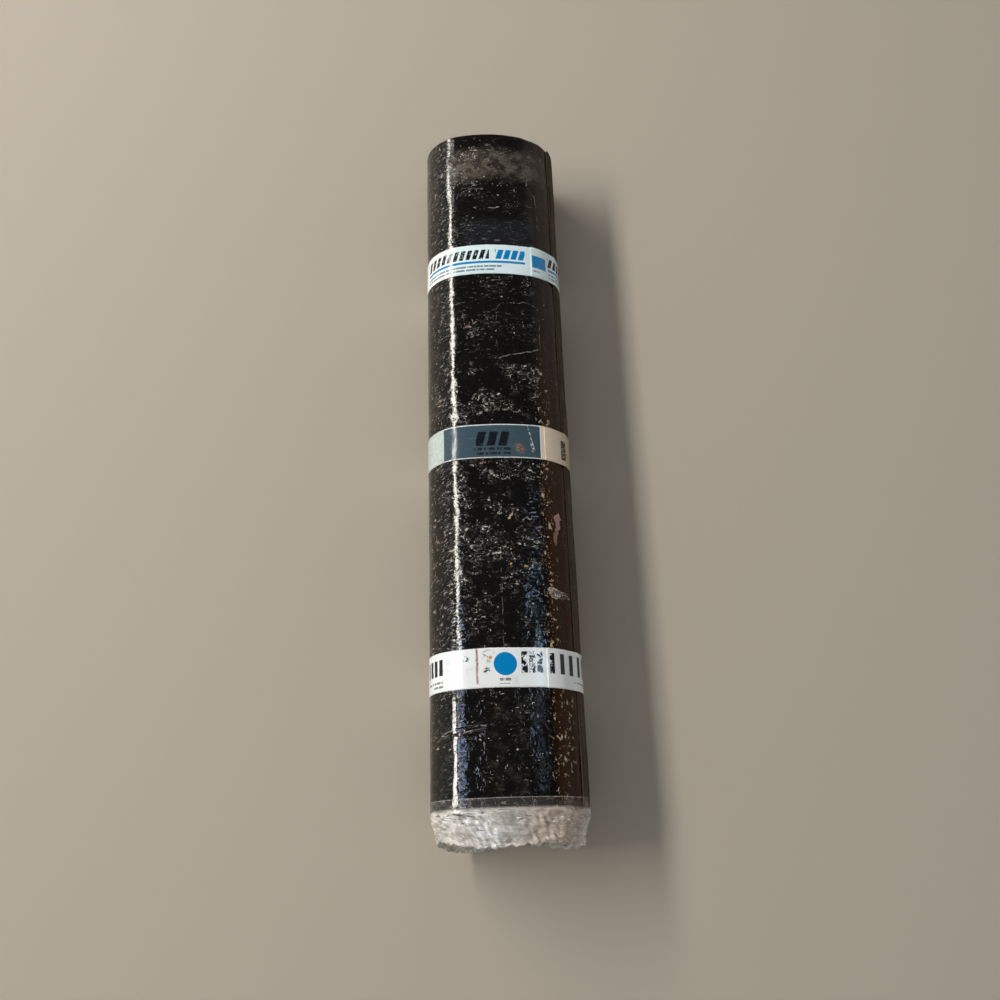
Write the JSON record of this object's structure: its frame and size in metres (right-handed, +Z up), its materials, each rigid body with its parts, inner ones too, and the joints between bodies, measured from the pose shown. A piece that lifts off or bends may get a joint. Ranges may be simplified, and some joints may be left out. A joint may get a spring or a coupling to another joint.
{
  "type": "roll of roofing felt",
  "caption": "Black bituminous roofing felt wound into a coreless roll that has squashed oval, held by printed tapes, with clear film on one end.",
  "frame": {"origin": "on the floor, under the middle of the whole object as it lies, film included", "axes": "+Y along the roll from its filmed end to its bare end, +Z up, +X across the roll"},
  "size_m": [0.2014, 1.045, 0.136],
  "materials": {
    "felt": "glossy film on bitumen",
    "tape": "printed plastic tape",
    "film": "clear crumpled film"
  },
  "bodies": {
    "root": {"felt_roll": "felt", "band_near": "tape", "band_middle": "tape", "band_far": "tape", "end_film": "film"}
  },
  "joints": []
}
